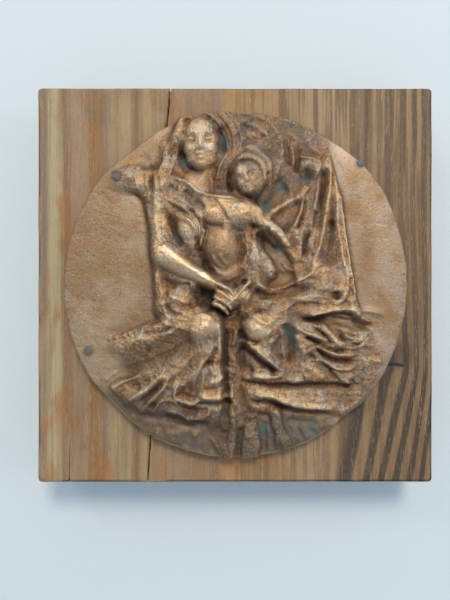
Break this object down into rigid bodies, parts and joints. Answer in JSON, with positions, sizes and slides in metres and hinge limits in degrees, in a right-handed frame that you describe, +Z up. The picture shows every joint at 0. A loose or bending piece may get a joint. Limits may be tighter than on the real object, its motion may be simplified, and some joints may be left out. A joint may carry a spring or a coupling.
{
  "type": "relief plaque",
  "caption": "Round cast bronze relief of a seated draped couple, pinned to a square block of old wood for hanging on a wall.",
  "frame": {"origin": "middle of the board's flat back face, which lies on the wall", "axes": "+Z up, +X to the viewer's right, the carved front faces -Y, and the wall is on the +Y side"},
  "size_m": [0.16, 0.0407, 0.16],
  "materials": {
    "old_softwood": "old pine with raised dark growth rings, waxed, stained and checked",
    "cast_bronze": "rough cast bronze, rubbed bright on the high places, dark brown with some verdigris in the hollows",
    "iron_pin": "dull grey iron, filed flush"
  },
  "bodies": {
    "root": {"board": "old_softwood", "relief_disc": "cast_bronze", "pin_upper_left": "iron_pin", "pin_upper_right": "iron_pin", "pin_lower_left": "iron_pin", "pin_lower_right": "iron_pin"}
  },
  "joints": []
}
